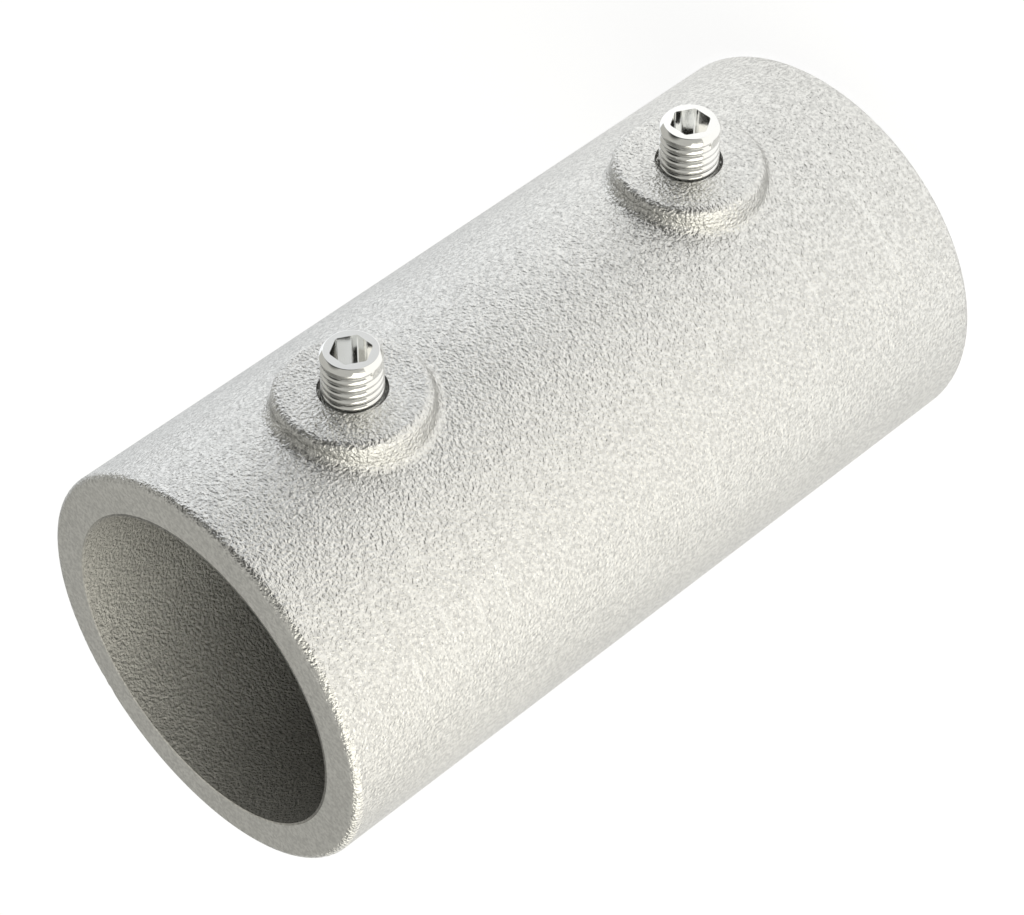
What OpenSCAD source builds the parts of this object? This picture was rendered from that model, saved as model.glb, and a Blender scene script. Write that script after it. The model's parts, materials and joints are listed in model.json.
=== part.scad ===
// Straight sleeve joint for round tube. Two tubes enter a cast sleeve end to end, and a
// hexagon socket set screw over each of them clamps it. The joint stands on one end face:
// Z runs up the bore axis from that face, and the bosses and their screws point to -Y.

/* [Tube] */
// Outside diameter of the tubes that the joint takes
tube_d = 28; // [20:0.5:50]
// Gap all round between a tube and the bore
tube_gap = 0.2; // [0.1:0.05:0.4]

/* [Sleeve] */
// Length of the sleeve from end face to end face
sleeve_l = 72; // [60:1:120]
// Wall thickness of the sleeve
wall_t = 3.6; // [2.8:0.1:6]
// Rounding of the outer edge at each end face
rim_r = 0.7; // [0.2:0.1:1.5]

/* [Bosses] */
// Distance of each boss's axis from its end face
boss_inset = 17.1; // [13:0.1:22]
// Width of a boss at the level of its flat top, before the edge is rounded
boss_d = 12.6; // [10:0.1:16]
// Height of a boss's flat top above the crown of the sleeve
boss_h = 1.5; // [1:0.1:3]
// Draft angle of a boss's side, for lifting the pattern out of the mould
boss_draft = 8; // [0:1:20]
// Rounding of a boss's top edge
boss_edge_r = 0.8; // [0.2:0.1:1.2]
// Fillet between a boss's side and the sleeve
boss_fillet_r = 1.2; // [0.6:0.1:2.5]

/* [Set screws] */
// Nominal diameter of the screw thread
screw_d = 5; // [4.5:0.5:8]
// Length of a set screw from its cup to its top
screw_l = 8; // [6:1:12]
// Distance of the screw's cup from the tube before it is driven home
screw_back = 1.4; // [0.5:0.1:2]
// Width of the chamfer round the top of the screw
screw_chamfer_w = 0.3; // [0.1:0.05:0.5]
// Depth of that chamfer along the screw
screw_chamfer_h = 0.5; // [0.2:0.05:0.8]
// Width across flats of the hexagon socket
socket_af = 3; // [2:0.1:3.2]
// Depth of the hexagon socket to the end of its flats
socket_t = 3; // [1.5:0.1:3.5]
// Diameter of the cup's sharp edge, which bites into the tube
cup_d = 2.5; // [1.5:0.1:3.5]

/* [Tapped holes] */
// Gap all round between the screw thread and the hole
thread_gap = 0.05; // [0.02:0.01:0.1]
// Gap all round between the screw thread and the wider mouth of the hole
mouth_gap = 0.33; // [0.15:0.01:0.6]
// Depth of that wider mouth
mouth_t = 0.8; // [0.3:0.1:1.5]

/* [Hidden] */
$fn = 96;
cut = 1;              // how far a cut runs past the face that it opens
cone_a = 30;          // slope of the cup's and the drill point's cones, for a 120 degree tip
fillet_sides = 64;    // facets round a boss's fillet
fillet_steps = 6;     // facets from the boss's side to the sleeve
fillet_dip = 0.03;    // how far the fillet's edges sink into the faces that they join

bore_r = tube_d / 2 + tube_gap;
outer_r = bore_r + wall_t;
boss_top = outer_r + boss_h;                    // a boss's flat, from the bore axis
boss_zs = [sleeve_l - boss_inset, boss_inset];  // heights of the two boss axes
upper_z = boss_zs[0];
lower_z = boss_zs[1];

screw_r = screw_d / 2;
screw_tip = tube_d / 2 + screw_back;            // the cup's edge, from the bore axis
screw_top = screw_tip + screw_l;
hole_r = screw_r + thread_gap;
mouth_r = screw_r + mouth_gap;

// The ball whose path is a boss's fillet: its centre's distance from the bore axis, and from the
// boss axis as it would be at the height of the bore axis, because the drafted side slopes
ball_orbit = outer_r + boss_fillet_r - fillet_dip;
ball_reach = boss_side_r(0) + boss_fillet_r / cos(boss_draft) - fillet_dip;

// Puts what is drawn along +Z onto the axis of the boss at height z, pointing to -Y.
// X then runs across the sleeve, and Y along it.
module on_boss_axis(z) translate([0, 0, z]) rotate([90, 0, 0]) children();

// ---- Sleeve: one casting, with a boss over each tube ----

// Solid bar of the sleeve's outside, with both of its outer edges rounded
module sleeve_bar() {
    rotate_extrude() {
        square([outer_r - rim_r, sleeve_l]);
        translate([0, rim_r]) square([outer_r, sleeve_l - 2 * rim_r]);
        for (z = [rim_r, sleeve_l - rim_r]) translate([outer_r - rim_r, z]) circle(rim_r);
    }
}

// Round boss with a flat top, a rounded edge and a drafted side that runs into the wall
module boss() {
    edge_x = boss_d / 2 - boss_edge_r * tan(45 - boss_draft / 2);  // middle of the rounding
    edge_y = boss_top - boss_edge_r;
    root_y = sqrt(pow(bore_r, 2) - pow(boss_d / 2, 2));            // below the wall's outside
    rotate_extrude() {
        polygon([
            [0, root_y],
            [boss_side_r(root_y), root_y],
            [edge_x + boss_edge_r * cos(boss_draft), edge_y + boss_edge_r * sin(boss_draft)],
            [edge_x, boss_top],
            [0, boss_top]
        ]);
        translate([edge_x, edge_y]) circle(boss_edge_r);
    }
}

// Radius of the boss's drafted side at a height above the bore axis
function boss_side_r(h) = boss_d / 2 + (boss_top - h) * tan(boss_draft);

// The fillet is the path of a ball that rolls round the corner between the boss's side and
// the sleeve. An angle a goes round the boss axis: 0 is across the sleeve, 90 along it.

// Height at which the ball touches both the side and the sleeve: the root of
// h^2 + (cos(a) * (ball_reach - k * h))^2 = ball_orbit^2
function ball_h(a) =
    let (k = tan(boss_draft), c = cos(a), m = 1 + pow(c * k, 2), n = c * c * ball_reach * k)
    (n + sqrt(n * n - m * (pow(c * ball_reach, 2) - pow(ball_orbit, 2)))) / m;

function ball_centre(a) =
    let (h = ball_h(a), r = ball_reach - h * tan(boss_draft))
    [r * cos(a), r * sin(a), h];

// Directions from the ball's centre to where it touches the boss and the sleeve
function to_boss(a) = -[cos(boss_draft) * cos(a), cos(boss_draft) * sin(a), sin(boss_draft)];
function to_sleeve(a) = let (c = ball_centre(a)) -[c.x, 0, c.z] / ball_orbit;

// The arc between the two touching points, then one point inside the wall
function fillet_section(a) =
    let (
        u = to_boss(a),
        v = to_sleeve(a),
        w = acos(u * v),
        root_r = (mouth_r + boss_d / 2) / 2
    )
    [
        for (j = [0:fillet_steps])
            let (t = w * j / fillet_steps)
            ball_centre(a) + boss_fillet_r * (sin(w - t) * u + sin(t) * v) / sin(w),
        [root_r * cos(a), root_r * sin(a), outer_r - wall_t / 2]
    ];

// Ring of fillet sections round the boss
module boss_fillet() {
    n = fillet_steps + 2;                       // points in a section
    polyhedron(
        points = [for (i = [0:fillet_sides - 1]) each fillet_section(360 * i / fillet_sides)],
        faces = [
            for (i = [0:fillet_sides - 1], j = [0:n - 1])
                let (
                    a = i * n,
                    b = (i + 1) % fillet_sides * n,
                    k = (j + 1) % n
                )
                each [[a + j, b + k, a + k], [a + j, b + j, b + k]]
        ]
    );
}

// Tapped hole through boss and wall, with a wider mouth that steps down to the thread
module screw_hole() {
    cylinder(h = boss_top + cut, r = hole_r);
    translate([0, 0, boss_top - mouth_t]) cylinder(h = mouth_t + cut, r = mouth_r);
    step = mouth_r - hole_r;
    translate([0, 0, boss_top - mouth_t - step]) cylinder(h = step, r1 = hole_r, r2 = mouth_r);
}

module sleeve() {
    color([0.80, 0.79, 0.76])
    difference() {
        union() {
            sleeve_bar();
            for (z = boss_zs) on_boss_axis(z) {
                boss();
                boss_fillet();
            }
        }
        translate([0, 0, -cut]) cylinder(h = sleeve_l + 2 * cut, r = bore_r);
        for (z = boss_zs) on_boss_axis(z) screw_hole();
    }
}

// ---- Set screws: hexagon socket, chamfered top and a cup that bites into the tube ----

// Screw blank, turned: its thread is too fine to be part of the solid
module screw_blank() {
    point_l = screw_r - cup_d / 2;              // the point is turned at 45 degrees
    rotate_extrude() polygon([
        [0, screw_tip + cup_d / 2 * tan(cone_a)],
        [cup_d / 2, screw_tip],
        [screw_r, screw_tip + point_l],
        [screw_r, screw_top - screw_chamfer_h],
        [screw_r - screw_chamfer_w, screw_top],
        [0, screw_top]
    ]);
}

// Hexagon with its corners across the sleeve, and the drill point below it
module key_socket() {
    translate([0, 0, screw_top - socket_t]) {
        cylinder(h = socket_t + cut, d = socket_af / cos(30), $fn = 6);
        drill_h = socket_af / 2 * tan(cone_a);
        translate([0, 0, -drill_h]) cylinder(h = drill_h, r1 = 0, r2 = socket_af / 2);
    }
}

module set_screw(z) {
    color([0.86, 0.86, 0.85])
    on_boss_axis(z) difference() {
        screw_blank();
        key_socket();
    }
}

module upper_set_screw() set_screw(upper_z);

module lower_set_screw() set_screw(lower_z);

sleeve();
upper_set_screw();
lower_set_screw();
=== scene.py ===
import json
import math

import bpy
from mathutils import Matrix, Vector


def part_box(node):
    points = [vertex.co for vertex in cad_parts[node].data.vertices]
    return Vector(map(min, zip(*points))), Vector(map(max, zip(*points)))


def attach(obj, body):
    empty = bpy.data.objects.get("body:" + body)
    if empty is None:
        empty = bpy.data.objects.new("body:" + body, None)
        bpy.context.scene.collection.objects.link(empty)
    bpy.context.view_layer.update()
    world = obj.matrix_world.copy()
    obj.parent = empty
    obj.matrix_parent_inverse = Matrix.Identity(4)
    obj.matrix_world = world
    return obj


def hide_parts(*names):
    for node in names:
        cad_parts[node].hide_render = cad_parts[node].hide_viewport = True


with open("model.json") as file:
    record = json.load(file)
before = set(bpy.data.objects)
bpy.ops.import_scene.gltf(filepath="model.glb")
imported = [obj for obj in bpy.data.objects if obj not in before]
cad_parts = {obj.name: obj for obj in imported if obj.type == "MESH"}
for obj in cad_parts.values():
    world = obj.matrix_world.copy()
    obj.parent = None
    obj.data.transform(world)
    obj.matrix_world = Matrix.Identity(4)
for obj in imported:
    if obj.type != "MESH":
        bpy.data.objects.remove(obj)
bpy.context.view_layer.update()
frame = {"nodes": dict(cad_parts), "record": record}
bpy.ops.object.select_all(action="DESELECT")


# ---- Sleeve ----
# One casting in light aluminium alloy, shot-blasted after it leaves the mould: the shot leaves
# fine pits all over the outside, and handling leaves faint bright rings on it. The end faces are
# sawn, and the bore keeps the dull skin that it was cast with, coloured with painted shade that
# deepens into the bore and away from one side.

def add_node(tree, kind, settings=(), **inputs):
    """New node of that kind. An input is named with _ for a space, or iN by its number, and
    takes a number, a colour, or the output that is linked to it."""
    n = tree.nodes.new("ShaderNode" + kind)
    for key, value in dict(settings).items():
        setattr(n, key, value)
    for key, value in inputs.items():
        by_number = key[0] == "i" and key[1:].isdigit()
        socket = n.inputs[int(key[1:]) if by_number else key.replace("_", " ")]
        if isinstance(value, bpy.types.NodeSocket):
            tree.links.new(value, socket)
        else:
            socket.default_value = value
    return n


def calc(tree, operation, *values):
    """Output of a Math node on those numbers or outputs."""
    inputs = {"i%d" % i: v for i, v in enumerate(values)}
    return add_node(tree, "Math", {"operation": operation}, **inputs).outputs[0]


def ramp(tree, value, start, end, low=0.0, high=1.0, ends="LINEAR"):
    """Number that goes from low to high while the value goes from start to end."""
    return add_node(tree, "MapRange", {"interpolation_type": ends}, Value=value,
                    From_Min=start, From_Max=end, To_Min=low, To_Max=high).outputs[0]


def blend(tree, amount, first, second, mode="MIX"):
    """Colour that is the first where the amount is 0, and mixed with the second where it is 1."""
    return add_node(tree, "Mix", {"data_type": "RGBA", "blend_type": mode},
                    i0=amount, i6=first, i7=second).outputs[2]


def clouds(tree, place, scale):
    """Soft uneven patches, that many to the metre."""
    return add_node(tree, "TexNoise", Vector=place, Scale=scale, Detail=3.0,
                    Roughness=0.6).outputs["Fac"]


def grey(level):
    return (level, level, level, 1)


def blast_grain_group():
    """Skin of a metal surface struck by fine shot: its height, and a mask of its dark pits."""
    tree = bpy.data.node_groups.new("blast grain", "ShaderNodeTree")
    scale = tree.interface.new_socket("Scale", in_out="INPUT", socket_type="NodeSocketFloat")
    scale.default_value = 4000
    tree.interface.new_socket("Height", in_out="OUTPUT", socket_type="NodeSocketFloat")
    tree.interface.new_socket("Pits", in_out="OUTPUT", socket_type="NodeSocketFloat")
    scale = tree.nodes.new("NodeGroupInput").outputs["Scale"]
    place = add_node(tree, "TexCoord").outputs["Object"]
    fine = add_node(tree, "TexNoise", Vector=place, Scale=scale, Detail=1.0, Roughness=0.5)
    elsewhere = add_node(tree, "VectorMath", {"operation": "ADD"}, i0=place, i1=(0.3, 0.1, 0.2))
    broad = add_node(
        tree, "TexNoise", Vector=elsewhere.outputs[0], Scale=calc(tree, "MULTIPLY", scale, 0.8),
        Detail=1.5, Roughness=0.6,
    )
    pits = ramp(tree, broad.outputs["Fac"], 0.66, 0.34, ends="SMOOTHSTEP")
    out = tree.nodes.new("NodeGroupOutput")
    tree.links.new(fine.outputs["Fac"], out.inputs["Height"])
    tree.links.new(pits, out.inputs["Pits"])
    return tree


blast_grain = blast_grain_group()
low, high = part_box("sleeve")
sleeve_l = high.z - low.z
outer_r = high.x
bore_r = frame["record"]["mounts"][0]["dims"]["r_mm"] / 1000
painted_shade_depth = 0.016               # how far into the bore the painted shade goes on darkening
painted_lit_side = (0.67, 0.74, 0)    # from the bore axis to the side where the painted light is brightest


def blasted(tree, scale):
    """Outputs of the blast grain group, at that many grains to the metre."""
    grain = tree.nodes.new("ShaderNodeGroup")
    grain.node_tree = blast_grain
    grain.inputs["Scale"].default_value = scale
    return grain.outputs


def painted_shade_bore_skin(tree, place, depth):
    """Colour of the dull cast skin with painted shade: darker with depth into the bore, and painted
    light on one side that fades away from it.
    """
    across = add_node(tree, "VectorMath", {"operation": "DOT_PRODUCT"}, i0=place, i1=painted_lit_side)
    # Painted light on one side of the bore, painted shade on the other and deep inside
    side = ramp(tree, across.outputs["Value"], -0.004, 0.013)
    at_mouth = blend(tree, side, grey(0.3), (1.0, 0.99, 0.96, 1))
    deep_in = blend(tree, calc(tree, "POWER", side, 2), grey(0.02), (0.74, 0.74, 0.72, 1))
    return blend(tree, ramp(tree, depth, 0, painted_shade_depth), at_mouth, deep_in)


def cast_alloy():
    m = bpy.data.materials.new("cast_alloy")
    m.use_nodes = True
    tree = m.node_tree
    metal = tree.nodes["Principled BSDF"]
    metal.inputs["Specular Tint"].default_value = grey(0.64)
    metal.inputs["Specular IOR Level"].default_value = 0.04
    place = add_node(tree, "TexCoord").outputs["Object"]
    x, y, z = add_node(tree, "SeparateXYZ", Vector=place).outputs

    # Where the bore and the end faces are
    radius = calc(tree, "ADD", calc(tree, "POWER", x, 2), calc(tree, "POWER", y, 2))
    in_bore = calc(tree, "LESS_THAN", calc(tree, "SQRT", radius), bore_r + 0.0002)
    from_middle = calc(tree, "ABSOLUTE", calc(tree, "SUBTRACT", z, sleeve_l / 2))
    on_end = calc(tree, "GREATER_THAN", from_middle, sleeve_l / 2 - 0.00002)

    # Blast grain: half as deep on the sawn ends, and deeper in the bore
    grain = blasted(tree, 3900)
    amount = calc(tree, "SUBTRACT", 1.0, calc(tree, "MULTIPLY", on_end, 0.5))
    amount = calc(tree, "ADD", amount, calc(tree, "MULTIPLY", in_bore, 0.4))
    bump = add_node(tree, "Bump", Strength=amount, Distance=0.00017, Height=grain["Height"])
    tree.links.new(bump.outputs["Normal"], metal.inputs["Normal"])

    # Clean alloy in soft clouds, darker in its pits
    cloud = clouds(tree, place, 110)
    clean = blend(tree, cloud, (0.845, 0.84, 0.82, 1), (0.905, 0.9, 0.88, 1))
    pit_depth = calc(tree, "MULTIPLY_ADD", on_end, -0.06, 0.32)
    pitted = blend(tree, calc(tree, "MULTIPLY", grain["Pits"], pit_depth), clean, grey(0.25))

    # Bright rings: noise drawn out round the sleeve, where the clouds are rubbed
    drawn_out = add_node(tree, "VectorMath", {"operation": "MULTIPLY"}, i0=place, i1=(45, 45, 2300))
    lines = add_node(tree, "TexNoise", Vector=drawn_out.outputs[0], Scale=1.0, Detail=1.0)
    rings = ramp(tree, lines.outputs["Fac"], 0.62, 0.72, ends="SMOOTHSTEP")
    rubbed = ramp(tree, cloud, 0.48, 0.6, high=0.45, ends="SMOOTHSTEP")
    scratched = blend(tree, calc(tree, "MULTIPLY", rings, rubbed), pitted, (0.97, 0.97, 0.95, 1))

    # The skin in the bore is matt and isn't bare metal; its colour is painted shade, darker deep in
    # the bore and away from a painted lit side
    depth = calc(tree, "SUBTRACT", sleeve_l / 2, from_middle)
    colour = blend(tree, in_bore, scratched, painted_shade_bore_skin(tree, place, depth), "MULTIPLY")
    tree.links.new(colour, metal.inputs["Base Color"])
    tree.links.new(calc(tree, "SUBTRACT", 1.0, in_bore), metal.inputs["Metallic"])
    rough = ramp(tree, cloud, 0.3, 0.7, 0.3, 0.35)
    matt = calc(tree, "MAXIMUM", rough, calc(tree, "MULTIPLY", in_bore, 0.5))
    tree.links.new(matt, metal.inputs["Roughness"])
    return m


sleeve = frame["nodes"]["sleeve"]
sleeve.data.materials.clear()
sleeve.data.materials.append(cast_alloy())


# ---- Set screws ----
# Turned from steel bar and plated bright: a hexagon socket for the key in the chamfered top,
# a rolled right-hand thread, and a cup at the other end whose edge bites into the tube.

low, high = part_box("upper_set_screw")
screw_r = (high.x - low.x) / 2
screw_l = high.y - low.y
chamfer_w = 0.0003
chamfer_h = 0.0005
cup_r = 0.00125
cup_cone = math.radians(30)          # slope of the hollow in the cup
socket_af = 0.003
socket_t = 0.003
pitch = 0.0007
crest_r = 0.00044                    # rounding of the thread's crest, from groove to groove
first_groove = 0.00098               # from the screw's top to where the groove starts
groove_start = math.radians(176)     # and how far round the screw that is
worn = 0.00005                       # rounding of the edges of the chamfer
sides = 96                           # facets round the screw
past = 0.0001                        # how far the thread's cutter stands out of the blank
hair = 1e-6                          # heights closer than this are the same


def thread_cutter():
    """Coil of what the thread's groove takes out of the blank, between two round crests."""
    turns = math.ceil(screw_l / pitch) + 1
    steps = 12
    bpy.ops.mesh.primitive_circle_add(vertices=steps + 3, radius=1, fill_type="NOTHING")
    coil = bpy.context.object
    groove_w = 0.98 * pitch          # short of the pitch, so that the coil's turns stay apart
    corners = [(screw_r + past, groove_w / 2), (screw_r + past, -groove_w / 2)]
    for i in range(steps + 1):
        z = groove_w * (i / steps - 0.5)
        from_crest = pitch / 2 - abs(z)
        corners.append((screw_r - crest_r + math.sqrt(crest_r ** 2 - from_crest ** 2), z))
    for v, (x, z) in zip(coil.data.vertices, corners):
        v.co = (x, 0, z)
    turn = coil.modifiers.new("turns", "SCREW")
    turn.angle = -2 * math.pi
    turn.screw_offset = -pitch
    turn.iterations = turns
    turn.steps = turn.render_steps = sides
    turn.use_merge_vertices = False
    bpy.ops.object.modifier_apply(modifier=turn.name)
    bpy.ops.object.mode_set(mode="EDIT")
    bpy.ops.mesh.select_all(action="SELECT")
    bpy.ops.mesh.remove_doubles(threshold=hair / 10)
    bpy.ops.mesh.fill_holes(sides=steps + 3)
    bpy.ops.mesh.select_all(action="SELECT")
    bpy.ops.mesh.normals_make_consistent(inside=False)
    bpy.ops.object.mode_set(mode="OBJECT")
    coil.location = (0, 0, screw_l - first_groove)
    coil.rotation_euler = (0, 0, groove_start)
    bpy.context.view_layer.update()
    return coil


def cut_away(piece, cutter):
    m = piece.modifiers.new("cut", "BOOLEAN")
    m.operation = "DIFFERENCE"
    m.solver = "EXACT"
    m.object = cutter
    bpy.context.view_layer.objects.active = piece
    bpy.ops.object.modifier_apply(modifier=m.name)
    bpy.data.objects.remove(cutter)


def pick_faces(piece, wanted):
    """Selects the faces whose normal passes the test, in edit mode."""
    bpy.ops.mesh.select_all(action="DESELECT")
    bpy.ops.object.mode_set(mode="OBJECT")
    for f in piece.data.polygons:
        f.select = wanted(f.normal)
    bpy.ops.object.mode_set(mode="EDIT")


def pick_edges(piece, wanted):
    """Selects the edges whose two ends pass the test, in edit mode."""
    bpy.ops.mesh.select_all(action="DESELECT")
    bpy.ops.object.mode_set(mode="OBJECT")
    points = piece.data.vertices
    for e in piece.data.edges:
        e.select = wanted(points[e.vertices[0]].co, points[e.vertices[1]].co)
    bpy.ops.object.mode_set(mode="EDIT")


def turned_blank():
    """The screw without its socket and thread, standing on its cup."""
    bpy.ops.mesh.primitive_cylinder_add(
        vertices=sides, radius=screw_r, depth=screw_l, location=(0, 0, screw_l / 2)
    )
    blank = bpy.context.object
    bpy.ops.object.transform_apply()
    bpy.ops.object.mode_set(mode="EDIT")
    chamfer_z = screw_l - chamfer_h
    for z in (chamfer_z, screw_r - cup_r):
        bpy.ops.mesh.select_all(action="SELECT")
        bpy.ops.mesh.bisect(plane_co=(0, 0, z), plane_no=(0, 0, 1))
    bpy.ops.mesh.select_mode(type="FACE")
    pick_faces(blank, lambda n: n.z > 0.9)
    s = (screw_r - chamfer_w) / screw_r
    bpy.ops.transform.resize(value=(s, s, 1))
    pick_faces(blank, lambda n: n.z < -0.9)
    s = cup_r / screw_r
    bpy.ops.transform.resize(value=(s, s, 1))
    bpy.ops.mesh.extrude_region_move(
        TRANSFORM_OT_translate={"value": (0, 0, cup_r * math.tan(cup_cone))}
    )
    bpy.ops.mesh.merge(type="CENTER")
    bpy.ops.mesh.select_mode(type="EDGE")
    pick_edges(blank, lambda a, b: a.z == b.z and a.z > chamfer_z - hair)
    bpy.ops.mesh.bevel(offset=worn, segments=2)
    bpy.ops.object.mode_set(mode="OBJECT")
    return blank


def key_socket_cutter():
    """Hexagon bar as deep as the socket, with its long edges worn off."""
    corner_r = socket_af / 2 / math.cos(math.radians(30))
    above = 0.001
    bpy.ops.mesh.primitive_cylinder_add(
        vertices=6, radius=corner_r, depth=socket_t + above,
        location=(0, 0, screw_l - socket_t / 2 + above / 2), rotation=(0, 0, math.radians(30)),
    )
    key = bpy.context.object
    bpy.ops.object.transform_apply()
    bpy.ops.object.mode_set(mode="EDIT")
    bpy.ops.mesh.select_mode(type="EDGE")
    pick_edges(key, lambda a, b: abs(a.z - b.z) > above)
    bpy.ops.mesh.bevel(offset=2 * worn, segments=1)
    bpy.ops.object.mode_set(mode="OBJECT")
    return key


def bright_plate():
    m = bpy.data.materials.new("bright_plate")
    m.use_nodes = True
    tree = m.node_tree
    metal = tree.nodes["Principled BSDF"]
    metal.inputs["Metallic"].default_value = 1
    cloud = clouds(tree, add_node(tree, "TexCoord").outputs["Object"], 900)
    tint = blend(tree, cloud, (0.92, 0.92, 0.905, 1), (0.96, 0.96, 0.95, 1))
    tree.links.new(tint, metal.inputs["Base Color"])
    tree.links.new(ramp(tree, cloud, 0.3, 0.7, 0.04, 0.09), metal.inputs["Roughness"])
    marks = blasted(tree, 2500)["Height"]
    bump = add_node(tree, "Bump", Strength=0.3, Distance=0.000004, Height=marks)
    tree.links.new(bump.outputs["Normal"], metal.inputs["Normal"])
    return m


screw = turned_blank()
cut_away(screw, key_socket_cutter())
cut_away(screw, thread_cutter())
bpy.ops.object.select_all(action="DESELECT")
screw.select_set(True)
bpy.context.view_layer.objects.active = screw
bpy.ops.object.shade_smooth_by_angle(angle=math.radians(30))
even = screw.modifiers.new("even", "WEIGHTED_NORMAL")
even.keep_sharp = True
bpy.ops.object.modifier_apply(modifier=even.name)
screw.data.materials.clear()
screw.data.materials.append(bright_plate())

for name in ("upper_set_screw", "lower_set_screw"):
    low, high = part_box(name)
    copy = screw.copy()
    copy.data = screw.data.copy()
    bpy.context.collection.objects.link(copy)
    copy.name = name + "_dressed"
    cup_place = Matrix.Translation((0, high.y, (low.z + high.z) / 2))
    copy.matrix_world = cup_place @ Matrix.Rotation(math.radians(90), 4, "X")
    bpy.ops.object.select_all(action="DESELECT")
    copy.select_set(True)
    bpy.context.view_layer.objects.active = copy
    bpy.ops.object.transform_apply()
    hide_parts(name)
    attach(copy, name.replace("_set", ""))
bpy.data.objects.remove(screw)


# ---- Floor ----
# White table that the joint stands on, with the joint's soft shadow. In the metal it shows a
# little warmer on the left, cooler on the right and darker in front, as in a room that is lit
# from one side. Under the sleeve it lies in the dark.

def compass(azimuth, elevation):
    """Direction at that azimuth from -Y, toward +X, and at that elevation, in degrees."""
    a, e = math.radians(azimuth), math.radians(elevation)
    return Vector((math.sin(a) * math.cos(e), -math.cos(a) * math.cos(e), math.sin(e)))


def toward(tree, direction, aim, narrow, wide):
    """How far a direction points to the aim: 1 within narrow degrees of it, 0 beyond wide ones."""
    along = add_node(tree, "VectorMath", {"operation": "DOT_PRODUCT"}, i0=direction, i1=aim)
    return ramp(tree, along.outputs["Value"], math.cos(math.radians(wide)),
                math.cos(math.radians(narrow)), ends="SMOOTHSTEP")


def white_floor():
    m = bpy.data.materials.new("white_floor")
    m.use_nodes = True
    tree = m.node_tree
    tree.nodes.clear()
    place = add_node(tree, "TexCoord").outputs["Object"]

    # What the metal mirrors: its strength by direction and distance, and its tone
    reach = add_node(tree, "VectorMath", {"operation": "LENGTH"}, i0=place).outputs["Value"]
    ray = add_node(tree, "VectorMath", {"operation": "NORMALIZE"}, i0=place).outputs[0]
    outside = calc(tree, "GREATER_THAN", reach, (bore_r + outer_r) / 2)
    in_front = calc(tree, "MULTIPLY", toward(tree, ray, compass(15, 0), 10, 45),
                    ramp(tree, reach, 0.05, 0.11))
    on_right = toward(tree, ray, compass(60, 0), 5, 45)
    shade = calc(tree, "SUBTRACT", 1.1, calc(tree, "MULTIPLY", in_front, 0.45))
    shade = calc(tree, "ADD", shade, calc(tree, "MULTIPLY", on_right, 0.18))
    x = add_node(tree, "SeparateXYZ", Vector=place).outputs["X"]
    tone = blend(tree, ramp(tree, x, -0.1, 0.1), (1, 0.98, 0.92, 1), (0.93, 0.95, 0.965, 1))
    mirrored = add_node(tree, "Emission", Color=tone, Strength=calc(tree, "MULTIPLY", outside, shade))

    # What the camera sees: white, with a share of paint that takes the shadow
    glow = add_node(tree, "Emission", Strength=0.86)
    paint = add_node(tree, "BsdfDiffuse", Color=grey(0.3))
    seen = add_node(tree, "AddShader", i0=glow.outputs[0], i1=paint.outputs[0])
    by_camera = add_node(tree, "LightPath").outputs["Is Camera Ray"]
    mixed = add_node(tree, "MixShader", i0=by_camera, i1=mirrored.outputs[0], i2=seen.outputs[0])
    add_node(tree, "OutputMaterial", Surface=mixed.outputs[0])
    return m


bpy.ops.mesh.primitive_plane_add(size=4, location=(0, 0, 0))
floor = bpy.context.object
floor.name = "floor"
floor.data.materials.append(white_floor())


# ---- Light ----
# Plain studio: pale walls all round, dimmer in front of the screws, and two large soft boxes on
# the left, a strong one behind and a weak low one.

world = bpy.data.worlds.new("studio")
bpy.context.scene.world = world
world.use_nodes = True
tree = world.node_tree
by_camera = add_node(tree, "LightPath").outputs["Is Camera Ray"]
ray = add_node(tree, "TexCoord").outputs["Generated"]
dark = calc(tree, "MAXIMUM", toward(tree, ray, compass(8, 10), 20, 50),
            toward(tree, ray, compass(30, 40), 10, 34))
walls = calc(tree, "SUBTRACT", 0.47, calc(tree, "MULTIPLY", dark, 0.45))
strength = add_node(tree, "Mix", {"data_type": "FLOAT"}, i0=by_camera, i2=walls, i3=1.0)
tree.links.new(strength.outputs[0], tree.nodes["Background"].inputs["Strength"])
tint = blend(tree, by_camera, (1, 0.99, 0.92, 1), (1, 1, 1, 1))
tree.links.new(tint, tree.nodes["Background"].inputs["Color"])

middle = Vector((0, 0, sleeve_l / 2))
lamp_distance = 0.8
for name, azimuth, elevation, size, radiance in (
    ("left_wall", -122, 27, (1.8, 0.8), 1.13),
    ("left_low_box", -84, 9, (0.55, 0.24), 0.2),
):
    out = compass(azimuth, elevation)
    bpy.ops.object.light_add(type="AREA", location=middle + out * lamp_distance)
    lamp = bpy.context.object
    lamp.name = name
    lamp.rotation_euler = out.to_track_quat("Z", "Y").to_euler()
    lamp.data.shape = "RECTANGLE"
    lamp.data.size, lamp.data.size_y = size
    lamp.data.energy = radiance * math.pi * size[0] * size[1]
    lamp.data.color = (1, 0.97, 0.86)


# ---- Camera ----
# Long lens, to the left of the screws and above the open end. It is turned on its side, so that
# the standing joint lies aslant across the view, with its open end at the lower left.

aim = Vector((-0.0009, -0.0005, 0.0385))
distance = 0.307829
azimuth, elevation, roll = -34.804, 29.614, -125.468
turn = (
    Matrix.Rotation(math.radians(azimuth), 4, "Z")
    @ Matrix.Rotation(math.radians(90 - elevation), 4, "X")
    @ Matrix.Rotation(math.radians(roll), 4, "Z")
)
bpy.ops.object.camera_add(
    location=aim + compass(azimuth, elevation) * distance, rotation=turn.to_euler()
)
camera = bpy.context.object
camera.data.lens = 130.8955
camera.data.sensor_width = 36
camera.data.clip_start = 0.01
bpy.context.scene.camera = camera
bpy.context.scene.view_settings.view_transform = "Standard"
